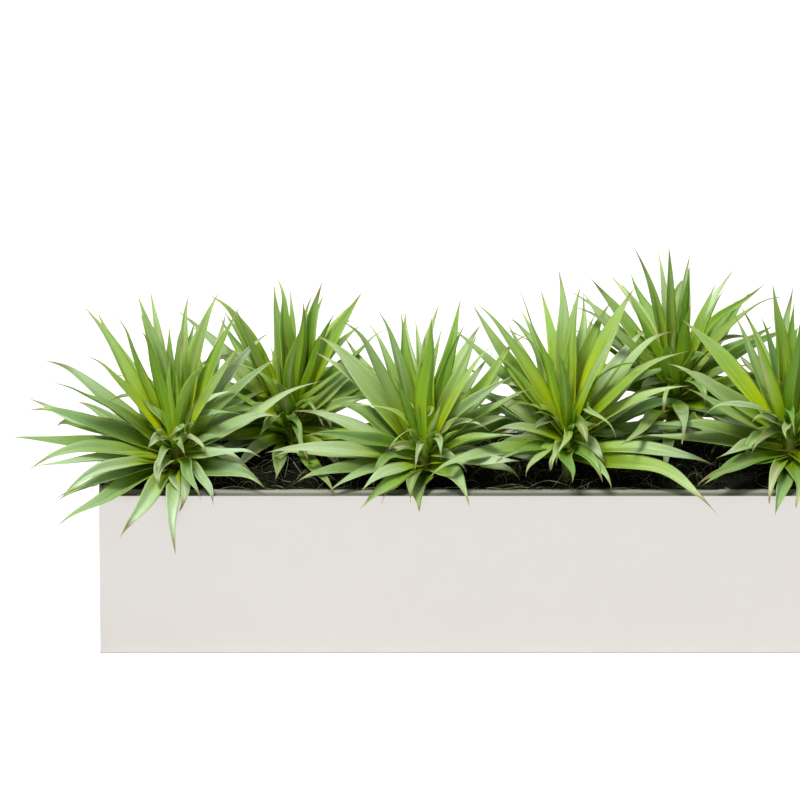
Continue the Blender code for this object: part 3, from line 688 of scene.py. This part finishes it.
class Garden:
    """The leaves placed so far, and what a new one has to clear."""

    OUTER = (0.3, 0.42, 0.57, 0.73, 0.89)
    BEYOND_CROWN = (0.12, 0.28, 0.43, 0.58, 0.74, 0.89)

    def __init__(self, crowns):
        self.leaves = {name: [] for name in crowns}
        self.placed = []
        edge = (HALF_LENGTH + RIM_CLEARANCE, HALF_DEPTH + RIM_CLEARANCE)
        self.fixed = [(None, box_tree((-edge[0], -edge[1], 0), (*edge, HEIGHT + RIM_CLEARANCE)))]
        for name, crown in crowns.items():
            low = crown.at - (CROWN_REACH, CROWN_REACH, CROWN_LOW)
            high = crown.at + (CROWN_REACH, CROWN_REACH, CROWN_TOP)
            self.fixed.append((name, box_tree(low, high)))

    def is_clear(self, name, leaf):
        vertices, triangles = blade(leaf, self.BEYOND_CROWN, CLEAR_WIDTH, CLEAR_DEPTH)
        tree = BVHTree.FromPolygons(vertices, triangles)
        for owner, solid in self.fixed:
            if owner != name and tree.overlap(solid):
                return False
        array = np.array(vertices)
        low, high = array.min(axis=0), array.max(axis=0)
        own = BVHTree.FromPolygons(*blade(leaf, self.OUTER, OWN_CLEARANCE, OWN_CLEARANCE))
        for owner, other_low, other_high, whole, outer in self.placed:
            if (other_low > high).any() or (low > other_high).any():
                continue
            if own.overlap(outer) if owner == name else tree.overlap(whole):
                return False
        return True

    def add(self, name, leaf):
        whole = blade(leaf, (0.0, *self.BEYOND_CROWN))
        array = np.array(whole[0])
        outer = BVHTree.FromPolygons(*blade(leaf, self.OUTER))
        tree = BVHTree.FromPolygons(*whole)
        self.placed.append((name, array.min(axis=0), array.max(axis=0), tree, outer))
        self.leaves[name].append(leaf)


def polar(heading, rise, reach):
    """The point at a compass heading from +X, an angle above level and a distance."""
    level = reach * math.cos(rise)
    return np.array((level * math.cos(heading), level * math.sin(heading), reach * math.sin(rise)))


def leaf_at(crown, heading, rise, reach, form):
    """A leaf whose tip lies there from the crown; the steeper it is, the higher on the crown its root."""
    root = crown.at + polar(heading, 0, ROOT_RADIUS) + (0, 0, crown.neck * math.sin(rise) - ROOT_DROP)
    return Leaf(root, crown.at + polar(heading, rise, reach), *form)


def place(garden, name, crown, aim, form, tries):
    """Add a leaf where it clears everything, and return its heading, or None where there is no room.

    The aim is its tip's heading, rise and reach from the crown, and the form its bend, width and sway.
    It is tried in a widening spiral of headings and rises round the aim, then again cut shorter.
    """
    heading, rise, reach = aim
    for shorter in SHORTER:
        for step in range(tries):
            spread = math.radians(STEP_DEGREES) * math.sqrt(step)
            turned = heading + spread * math.cos(step * GOLDEN_ANGLE) / max(math.cos(rise), STEEPEST_SHARE)
            raised = rise + spread * math.sin(step * GOLDEN_ANGLE)
            leaf = leaf_at(crown, turned, raised, reach * shorter, form)
            if garden.is_clear(name, leaf):
                garden.add(name, leaf)
                return turned
    return None


def lowest_rise(crown, heading, reach):
    """The least rise that keeps a tip over the trough clear of the moss; past its edge, none."""
    tip = crown.at + polar(heading, 0, reach)
    if abs(tip[0]) > HALF_LENGTH + PAST_EDGE or abs(tip[1]) > HALF_DEPTH + PAST_EDGE:
        return -math.pi / 2
    return math.asin((HEIGHT + MOSS_CLEARANCE - crown.at[2]) / reach)


def widest_gap(headings):
    """The heading in the middle of the widest gap between those given."""
    ordered = sorted(heading % (2 * math.pi) for heading in headings)
    if not ordered:
        return math.pi / 2
    following = [*ordered[1:], ordered[0] + 2 * math.pi]
    gaps = [after - before for before, after in zip(ordered, following)]
    widest = gaps.index(max(gaps))
    return ordered[widest] + gaps[widest] / 2


def lay_out_leaves():
    """Every rosette's leaves: first all the lead leaves, then each tier filled up at its widest gaps."""
    garden = Garden(crowns)
    draw = np.random.default_rng(SEED)
    taken = {name: [] for name in ROSETTES}
    for name, (*_, leads) in ROSETTES.items():
        for right, back, up, bend, width in leads:
            heading = math.atan2(back, right)
            rise = math.atan2(up, math.hypot(right, back))
            reach = math.sqrt(right**2 + back**2 + up**2) * MM
            sway = draw.uniform(-LEAD_SWAY, LEAD_SWAY)
            form = (math.radians(bend), width * MM, sway)
            turned = place(garden, name, crowns[name], (heading, rise, reach), form, LEAD_TRIES)
            if turned is not None:
                taken[name].append((math.degrees(rise), turned))
    for count, lowest, highest, shortest, longest, bend, width in TIERS:
        for name, crown in crowns.items():
            leads = sum(lowest <= rise < highest for rise, _ in taken[name])
            headings = [
                heading for rise, heading in taken[name] if lowest - NEAR_TIER < rise < highest + NEAR_TIER
            ]
            if lowest > OPEN_ABOVE:
                headings += [math.radians(heading) for heading in OPEN_HEADINGS]
            for _ in range(count - leads):
                heading = widest_gap(headings) + draw.uniform(-HEADING_DRAW, HEADING_DRAW)
                reach = draw.uniform(shortest, longest) * MM
                rise = max(math.radians(draw.uniform(lowest, highest)), lowest_rise(crown, heading, reach))
                bent = math.radians(bend * draw.uniform(*BEND_DRAW))
                broad = width * MM * draw.uniform(*WIDTH_DRAW)
                form = (bent, broad, draw.uniform(-SWAY, SWAY))
                place(garden, name, crown, (heading, rise, reach), form, RULE_TRIES)
                headings.append(heading)
    return garden.leaves


# Yucca leaves: thick, satin, sword-shaped blades, channelled along the middle, with a hard pointed tip.
# Young ones stand rolled and lime green in the crown; old ones hang, curl and dry out at the tip.

LEAF_RINGS = 28
HALF_ACROSS = 4
FINE_TIP = 1.35
FINE_ROOT = 0.62
FULLER = 0.96
ROOT_GROOVE, TIP_GROOVE = 0.42, 0.22
GROOVE_ROUNDNESS = 1.05
THICKEST = 1.2 * MM
THINNER_BELOW = 6 * MM
TIP_THINNING = 0.55
RING_CROWDING = 0.9
UNTWISTED_AT = 0.25
FINE_RIPPLES, FINE_RIPPLE_HEIGHT = 1.4, 0.7
CURL_FROM, HOOK_FROM = 0.5, 0.8
HOOKED_SHARE = 0.5
OLD_BEND = 60
# Painted shade on leaves that lie low behind the crown: how much darker their tone gets, how far behind the
# crown and how flat they lie.
SHADE, SHADED_BEHIND, SHADED_BELOW = 0.7, 30 * MM, 0.55
HABIT_SEED = 23

# Leaves that fill the crown: young ones upright in the middle, two spears that stand in front of them,
# ones that sheathe the front, ones folded over in front of it, old ones curling at its foot, broad ones
# at the back, and narrow ones arching over. Each row is how many, then the ranges of heading and rise in
# degrees, of reach and width in mm, and of bend in degrees.
SHORT_LEAVES = (
    (5, (-180, 180), (64, 86), (60, 115), (8, 12), (2, 10)),
    (2, (-115, -65), (82, 88), (115, 150), (10, 12), (2, 6)),
    (5, (-165, -15), (35, 66), (45, 80), (11, 15), (5, 40)),
    (3, (-155, -25), (0, 30), (50, 78), (10, 14), (110, 160)),
    (7, (-180, 180), (-32, 12), (60, 115), (11, 17), (40, 110)),
    (11, (5, 175), (2, 30), (115, 175), (17, 24), (10, 50)),
    (6, (-180, 180), (30, 58), (100, 145), (7, 11), (60, 120)),
)
# How lime and how dark each rosette is on the whole
LIME_AND_DARK = {
    "yucca_front_left": (0.1, 0.0),
    "yucca_back_left": (0.85, 0.1),
    "yucca_front_mid_left": (0.45, 0.0),
    "yucca_front_mid_right": (0.5, 0.0),
    "yucca_back_right": (0.5, 0.0),
    "yucca_front_right": (0.45, 0.25),
}

Habit = namedtuple("Habit", "widest curl hook lean meander twist wave ripples phase fold")


def fine_width(shares, widest):
    """Over half width where the leaf clasps the stem, full width at the widest place, then a long taper
    that follows a cosine raised to a power, to nothing at the tip."""
    swell = FINE_ROOT + (1 - FINE_ROOT) * np.sin(np.clip(shares / widest, 0, 1) * math.pi / 2)
    taper = np.cos(np.clip((shares - widest) / (1 - widest), 0, 1) * math.pi / 2) ** FINE_TIP
    return swell * taper


def draw_habit(draw, bend):
    """How one leaf departs from the plain arc. The more it bends, the looser it hangs, and a share of
    the leaves end in a hook."""
    loose = 0.5 + min(math.degrees(bend), 90) / 50
    return Habit(
        widest=draw.uniform(0.3, 0.5),
        curl=draw.normal(0.015, 0.04) * loose,
        hook=(draw.random() < HOOKED_SHARE) * draw.uniform(0.03, 0.11),
        lean=draw.normal(0, 0.035) * loose,
        meander=draw.normal(0, 0.02) * loose,
        twist=math.radians(draw.normal(0, 38)),
        wave=draw.uniform(0.2, 0.6) * MM * loose**1.7,
        ripples=draw.uniform(7, 14),
        phase=draw.uniform(0, 2 * math.pi),
        fold=draw.uniform(0.4, 1.5),
    )


def past(shares, start):
    """The square of the share beyond the start, as a column."""
    return (np.clip((shares - start) / (1 - start), 0, 1) ** 2)[:, None]


def leaf_surface(leaf, habit):
    """Rings that run over the upper face from edge to edge and back underneath, then one tip point.

    The plain arc meanders sideways in a sine wave, curls and leans by the square of the share past
    CURL_FROM, and hooks by that past HOOK_FROM. The blade is twisted evenly about it, its section is
    a rounded V that flattens towards the tip, its edges ripple in a sine wave that starts at the root,
    and its thickness across is half an ellipse, nothing at the edges.
    """
    shares = np.linspace(0, 1, LEAF_RINGS + 1) ** RING_CROWDING
    points, _, _, normal = spine(leaf, shares)
    reach = np.linalg.norm(leaf.tip - leaf.root)
    sideways = unit(np.cross(normal[-1], points[-1] - points[-2]))
    wander = habit.lean * past(shares, CURL_FROM)
    wander += habit.meander * (np.sin(math.pi * shares) * np.sin(2 * math.pi * shares + habit.phase))[:, None]
    drop = habit.curl * past(shares, CURL_FROM) + habit.hook * past(shares, HOOK_FROM)
    points = points + reach * (wander * sideways - drop * normal)
    along = unit(np.gradient(points, shares, axis=0))
    side = unit(np.cross(normal, along))
    normal = np.cross(along, side)
    turn = (habit.twist * (shares - UNTWISTED_AT))[:, None]
    side, normal = np.cos(turn) * side + np.sin(turn) * normal, np.cos(turn) * normal - np.sin(turn) * side
    width = FULLER * leaf.width * fine_width(shares, habit.widest)
    over = np.linspace(-1, 1, 2 * HALF_ACROSS + 1)
    across = np.concatenate((over, over[-2:0:-1]))
    face = np.concatenate((np.ones(len(over)), -np.ones(len(over) - 2)))
    groove = (width * habit.fold * (ROOT_GROOVE + (TIP_GROOVE - ROOT_GROOVE) * shares))[:, None]
    ripple = np.sin(habit.ripples * shares + habit.phase)[:, None] * across * np.abs(across)
    finer = np.sin(FINE_RIPPLES * habit.ripples * shares - habit.phase)[:, None] * across**2
    ripple += FINE_RIPPLE_HEIGHT * finer
    growing = habit.wave * np.minimum(4 * shares, 1)[:, None]
    deep = -groove * (1 - np.abs(across) ** GROOVE_ROUNDNESS) + growing * ripple
    thin = np.minimum(width / THINNER_BELOW, 1) * (1 - TIP_THINNING * shares)
    raised = deep + face * (THICKEST / 2 * thin)[:, None] * np.sqrt(1 - across**2)
    rings = (
        points[:, None]
        + side[:, None] * (width[:, None] * across / 2)[:, :, None]
        + normal[:, None] * raised[:, :, None]
    )
    uv = np.stack(np.broadcast_arrays((across + 1) / 2, shares[:, None]), axis=2)
    vertices = np.concatenate((rings[:-1].reshape(-1, 3), points[-1:]))
    return vertices, np.concatenate((uv[:-1].reshape(-1, 2), ((0.5, 1.0),)))


def leaf_faces():
    """Quads between a leaf's rings, a fan of triangles at its tip and a cap at its root, and for each
    of them, in that order, 1 if it lies under."""
    around = 4 * HALF_ACROSS
    quads = tube_faces(LEAF_RINGS, around)[:, ::-1]
    last = (LEAF_RINGS - 1) * around
    step = np.arange(around)
    fan = np.stack((last + (step + 1) % around, last + step, np.full(around, last + around)), axis=1)
    under = np.append(np.tile(step >= around // 2, LEAF_RINGS), False)
    return quads, fan, step, under


def short_leaves(crown, draw):
    """The short leaves, at headings a golden section apart. One that starts steeply has its root higher
    up the crown."""
    leaves = []
    for count, headings, rises, reaches, widths, bends in SHORT_LEAVES:
        first = draw.uniform(0, 1)
        for number in range(count):
            turn = (first + number * GOLDEN_ANGLE / (2 * math.pi)) % 1
            heading = math.radians(headings[0] + (headings[1] - headings[0]) * turn)
            reach, width = draw.uniform(*reaches) * MM, draw.uniform(*widths) * MM
            bend = math.radians(draw.uniform(*bends))
            least = lowest_rise(crown, heading, max(reach, crown.at[2] - HEIGHT))
            rise = max(math.radians(draw.uniform(*rises)), least)
            high = crown.neck * math.sin(min(rise + bend / 2, math.pi / 2)) - ROOT_DROP
            root = crown.at + polar(heading, 0, ROOT_RADIUS) + (0, 0, high)
            tip = crown.at + polar(heading, rise, reach)
            leaves.append(Leaf(root, tip, bend, width, draw.uniform(-SWAY, SWAY)))
    return leaves


def foliage(name, leaves, hue, dark, draw, material):
    """A rosette's leaves as one mesh, with places along and across each leaf in its UV map, and on
    each face whether it lies under, and its leaf's hue, tone, youth, dryness and flush."""
    quads, fan, cap, under = leaf_faces()
    surfaces = [leaf_surface(leaf, draw_habit(draw, leaf.bend)) for leaf in leaves]
    faces = []
    for number in range(len(leaves)):
        start = number * len(surfaces[0][0])
        faces += [*(quads + start).tolist(), *(fan + start).tolist(), (cap + start).tolist()]
    piece = make_piece(name, np.concatenate([points for points, _ in surfaces]), faces, material)
    places = np.concatenate([uv for _, uv in surfaces])
    corners = np.empty(len(piece.data.loops), np.int32)
    piece.data.loops.foreach_get("vertex_index", corners)
    layer = piece.data.uv_layers.new(name="blade")
    layer.data.foreach_set("uv", places[corners].astype(np.float32).ravel())
    chords = np.array([leaf.tip - leaf.root for leaf in leaves])
    steep = chords[:, 2] / np.linalg.norm(chords, axis=1)
    shaded = (chords[:, 1] > SHADED_BEHIND) & (steep < SHADED_BELOW)
    old = np.degrees([leaf.bend for leaf in leaves]) > OLD_BEND
    count = len(leaves)
    leaf_values = {
        "hue": hue + draw.normal(0, 0.24, count),
        # The tone is random, with painted shade added on leaves lying low behind the crown.
        "tone": dark + draw.uniform(0, 1, count) ** 2 + SHADE * shaded,
        "youth": (steep - 0.35) * 1.1 + draw.normal(0, 0.2, count),
        "dry": draw.normal(0.3, 0.3, count) + 0.25 * old,
        "flush": draw.normal(-0.2, 0.3, count) + 0.35 * old,
    }
    for label, values in leaf_values.items():
        set_face_values(piece, label, np.repeat(np.clip(values, 0, 1), len(under)))
    set_face_values(piece, "under", np.tile(under, count))
    return piece


def leaf_skin():
    """Satin leaf: lime at the root, with a darker band of painted shade a quarter of the way out, and
    greener outwards. It is glaucous or lime by its hue, and darker by its tone, which carries painted shade
    for low leaves behind the crown. It is banded and streaked lengthwise, pale along its edges, olive and
    darker underneath with painted shade, flushed pink where an old leaf bends over, and brown where
    the tip dries."""
    material = finish(
        "leaf_skin",
        Subsurface_Weight=0.4,
        Subsurface_Radius=(0.7, 1.0, 0.05),
        Subsurface_Scale=0.002,
        Specular_IOR_Level=0.42,
        Specular_Tint=(0.85, 1.0, 0.45, 1.0),
    )
    place = add_node(material, "UVMap", {}, uv_map="blade").outputs["UV"]
    across, along, _ = add_node(material, "SeparateXYZ", {"Vector": place}).outputs
    hue, tone = face_value(material, "hue"), face_value(material, "tone")
    # The glaucous and lime ramps dip darker about a quarter of the way out: painted shade where the leaves
    # crowd at the crown.
    glaucous = colour_along(material, along, (
        (0.0, (0.44, 0.48, 0.002)), (0.22, (0.28, 0.40, 0.012)),
        (0.45, (0.37, 0.46, 0.28)), (0.7, (0.44, 0.52, 0.43)), (1.0, (0.34, 0.40, 0.30)),
    ))
    lime = colour_along(material, along, (
        (0.0, (0.46, 0.48, 0.001)), (0.25, (0.24, 0.35, 0.001)),
        (0.6, (0.31, 0.42, 0.11)), (0.75, (0.37, 0.46, 0.24)), (1.0, (0.30, 0.36, 0.15)),
    ))
    young = colour_along(material, along, (
        (0.0, (0.66, 0.66, 0.001)), (0.35, (0.48, 0.58, 0.001)),
        (0.6, (0.33, 0.48, 0.07)), (1.0, (0.38, 0.48, 0.23)),
    ))
    body = blend(material, hue, glaucous, lime)
    body = blend(material, remap(material, face_value(material, "youth"), 0.2, 0.8, 0.0, 0.9), body, young)
    apart = add_node(material, "CombineXYZ", {"X": across, "Y": along, "Z": tone}).outputs["Vector"]
    bands = add_node(material, "Mapping", {"Vector": apart, "Scale": (3.5, 1.4, 90.0)}).outputs["Vector"]
    fibres = add_node(material, "Mapping", {"Vector": apart, "Scale": (32.0, 1.6, 90.0)}).outputs["Vector"]
    streak = noise(material, fibres, 1.0, 3.0)
    spread = maths(material, "ABSOLUTE", maths(material, "SUBTRACT", across, 0.5))
    rosy = maths(material, "MULTIPLY", face_value(material, "flush"), remap(material, along, 0.25, 0.5))
    rosy = maths(material, "MULTIPLY", rosy, remap(material, spread, 0.05, 0.35, 1.0, 0.0))
    start = remap(material, face_value(material, "dry"), 0.0, 1.0, 0.97, 0.83)
    ragged = maths(material, "MULTIPLY_ADD", streak, 0.12, along)
    dried = remap(material, maths(material, "SUBTRACT", ragged, start), 0.0, 0.1, 0.0, 0.9)
    layers = (
        ("MULTIPLY", remap(material, noise(material, bands, 1.0, 2.0), 0.3, 0.7), (0.70, 0.80, 0.50)),
        ("MULTIPLY", remap(material, streak, 0.35, 0.7), (0.76, 0.83, 0.66)),
        # Darker by the tone: random, plus painted shade on low leaves behind the crown.
        ("MULTIPLY", tone, (0.41, 0.56, 0.27)),
        # Under faces olive and darker: their own tint with painted shade.
        ("MULTIPLY", face_value(material, "under"), (0.58, 0.72, 0.22)),
        ("MIX", remap(material, spread, 0.46, 0.495, 0.0, 0.35), (0.50, 0.64, 0.22)),
        ("MIX", remap(material, spread, 0.01, 0.03, 0.2, 0.0), (0.42, 0.54, 0.16)),
        ("MIX", rosy, (0.38, 0.33, 0.20)),
        ("MIX", dried, (0.15, 0.095, 0.06)),
    )
    for kind, share, colour in layers:
        body = blend(material, share, body, (*colour, 1.0), kind)
    ridges = noise(material, fibres, 2.2, 2.0)
    gloss = noise(material, object_place(material), 38.0, 3.0)
    to_shader(
        material,
        Base_Color=body,
        Roughness=remap(material, gloss, 0.3, 0.7, 0.38, 0.5),
        Normal=bump(material, ridges, 0.25, 0.0004),
    )
    return material


skin = leaf_skin()
grown = lay_out_leaves()
habits = np.random.default_rng(HABIT_SEED)
for yucca, crown in crowns.items():
    leaves = [*grown[yucca], *short_leaves(crown, habits)]
    blades = foliage(f"{yucca}_leaves", leaves, *LIME_AND_DARK[yucca], habits, skin)
    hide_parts(yucca)


# Stems: short and woody, ringed by the scars of shed leaves and greener near the crown. Each goes down
# through the moss into the soil and ends in the growing point that the leaves clasp.

STEM_RADIUS = 7 * MM
STEM_SIDES = 24
STEM_ROWS = 90
SCAR_SPACING = 4.5 * MM
SCAR_DEPTH = 0.7 * MM
BUD_CLOSING = 8 * MM
BUD_RADIUS = 8 * MM
BUD_ROWS = 6


def stem_surface(crown, bottom):
    """A turned stem: a straight taper from its foot with a saw-tooth ring at every scar, swelling into
    a bud that closes as the quarter of an ellipse. The scars run round it in a slow helix."""
    shoulder = crown.at[2] + crown.neck / 2
    heights = np.linspace(bottom, shoulder, STEM_ROWS)
    turn = np.arange(STEM_SIDES) * 2 * math.pi / STEM_SIDES
    scar = ((heights[:, None] + SCAR_SPACING * turn / (2 * math.pi)) / SCAR_SPACING) % 1.0
    swell = np.clip(1 - (shoulder - heights) / (2 * crown.neck), 0, 1) ** 2
    radius = (STEM_RADIUS + (BUD_RADIUS - STEM_RADIUS) * swell)[:, None] - SCAR_DEPTH * scar
    closing = np.linspace(0, math.pi / 2, BUD_ROWS + 2)[1:-1]
    radius = np.concatenate((radius, radius[-1] * np.cos(closing)[:, None]))
    heights = np.concatenate((heights, shoulder + (crown.neck / 2 + BUD_CLOSING) * np.sin(closing)))
    x = crown.at[0] + radius * np.cos(turn)
    y = crown.at[1] + radius * np.sin(turn)
    points = np.stack((x, y, np.broadcast_to(heights[:, None], x.shape)), axis=2).reshape(-1, 3)
    last = (len(heights) - 1) * STEM_SIDES
    caps = [list(range(STEM_SIDES))[::-1], list(range(last, last + STEM_SIDES))]
    return points, tube_faces(len(heights), STEM_SIDES).tolist() + caps


def stem_bark():
    """Mottled olive brown, and greener upwards."""
    material = finish("stem_bark", Roughness=0.7)
    place = object_place(material)
    *_, height = add_node(material, "SeparateXYZ", {"Vector": place}).outputs
    fresh = remap(material, height, HEIGHT - 15 * MM, HEIGHT + 12 * MM)
    mottle = noise(material, place, 220.0, 4.0)
    old = blend(material, mottle, (0.035, 0.028, 0.014, 1.0), (0.11, 0.095, 0.045, 1.0))
    new = blend(material, mottle, (0.07, 0.10, 0.004, 1.0), (0.16, 0.20, 0.02, 1.0))
    to_shader(
        material,
        Base_Color=blend(material, fresh, old, new),
        Normal=bump(material, mottle, 0.5, 0.0006),
    )
    return material


bark = stem_bark()
for yucca, crown in crowns.items():
    stem = make_piece(f"{yucca}_stem", *stem_surface(crown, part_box(yucca)[0].z), bark)
    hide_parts(yucca)


# Studio: a plain white floor under even white light, with one soft lamp from the front and above, and a
# long lens that looks slightly down on the trough's front and cuts its right end off.

FLOOR_DROP = 0.5 * MM
FLOOR_SIZE = 16.0
FLOOR_ALBEDO = 0.76
SKY_STRENGTH = 0.36
SOFTBOX_SIZE = 6.0
SOFTBOX_HEIGHT = 4.0
SOFTBOX_POWER = 120.0
LAMP_STRENGTH = 3.9
LAMP_SPREAD = math.radians(14)
LAMP_TURN = (math.radians(29), math.radians(-8), math.radians(-14))
PICTURE = 800
SENSOR = 36.0
CAMERA_RISE = math.radians(23.2)
CAMERA_DISTANCE = 14.0
PIXELS_PER_METRE = 853.0
TROUGH_MIDDLE_X = 488.6
FRONT_EDGE_Y = 495.2

floor_mesh = bpy.data.meshes.new("floor")
far = FLOOR_SIZE / 2
floor_corners = [(x, y, -FLOOR_DROP) for x, y in ((-far, -far), (far, -far), (far, far), (-far, far))]
floor_mesh.from_pydata(floor_corners, [], [(0, 1, 2, 3)])
floor_mesh.materials.append(finish("pale_floor", Base_Color=(*[FLOOR_ALBEDO] * 3, 1.0), Roughness=0.9))
set_in_scene("floor", floor_mesh)

sky = bpy.data.worlds.new("sky")
sky.use_nodes = True
sky.node_tree.nodes["Background"].inputs["Color"].default_value = (1.0, 1.0, 1.0, 1.0)
sky.node_tree.nodes["Background"].inputs["Strength"].default_value = SKY_STRENGTH
bpy.context.scene.world = sky
bpy.context.scene.view_settings.view_transform = "Standard"

softbox = bpy.data.lights.new("softbox", "AREA")
softbox.size = SOFTBOX_SIZE
softbox.energy = SOFTBOX_POWER
set_in_scene("softbox", softbox, (0, 0, SOFTBOX_HEIGHT))

lamp = bpy.data.lights.new("lamp", "SUN")
lamp.energy = LAMP_STRENGTH
lamp.angle = LAMP_SPREAD
set_in_scene("lamp", lamp, turn=LAMP_TURN)

lens = bpy.data.cameras.new("camera")
lens.sensor_width = SENSOR
lens.lens = PIXELS_PER_METRE * CAMERA_DISTANCE / PICTURE * SENSOR
lens.clip_end = 100.0
up_axis = np.array((0.0, math.sin(CAMERA_RISE), math.cos(CAMERA_RISE)))
back_axis = np.array((0.0, -math.cos(CAMERA_RISE), math.sin(CAMERA_RISE)))
aim = np.array(((PICTURE / 2 - TROUGH_MIDDLE_X) / PIXELS_PER_METRE, -HALF_DEPTH, HEIGHT))
aim += up_axis * (FRONT_EDGE_Y - PICTURE / 2) / PIXELS_PER_METRE
camera_place = aim + back_axis * CAMERA_DISTANCE
camera = set_in_scene("camera", lens, camera_place, (math.pi / 2 - CAMERA_RISE, 0, 0))
bpy.context.scene.camera = camera
